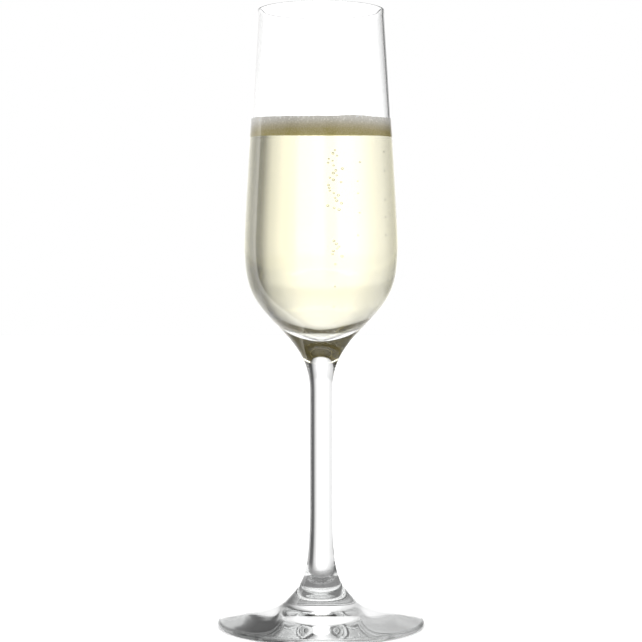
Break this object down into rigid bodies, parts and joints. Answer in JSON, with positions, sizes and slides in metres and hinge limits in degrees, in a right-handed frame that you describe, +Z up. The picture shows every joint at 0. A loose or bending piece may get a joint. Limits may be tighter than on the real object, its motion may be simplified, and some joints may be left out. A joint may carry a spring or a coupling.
{
  "type": "champagne flute",
  "caption": "Tall slender stemmed glass with a rounded belly, a slim solid stem and a low conical foot, holding a pour of pale sparkling wine under a thin layer of mousse.",
  "frame": {"origin": "middle of the ring that the foot stands on, on the axis of the glass", "axes": "+Z up along the axis of the glass, from the foot to the lip; the glass is turned, so X and Y are alike"},
  "size_m": [0.0754, 0.0754, 0.224],
  "materials": {
    "clear_glass": "polished",
    "champagne": "gloss",
    "mousse_foam": "satin"
  },
  "bodies": {
    "root": {"bowl": "clear_glass", "stem": "clear_glass", "foot": "clear_glass", "wine": "champagne", "mousse": "mousse_foam"}
  },
  "joints": []
}
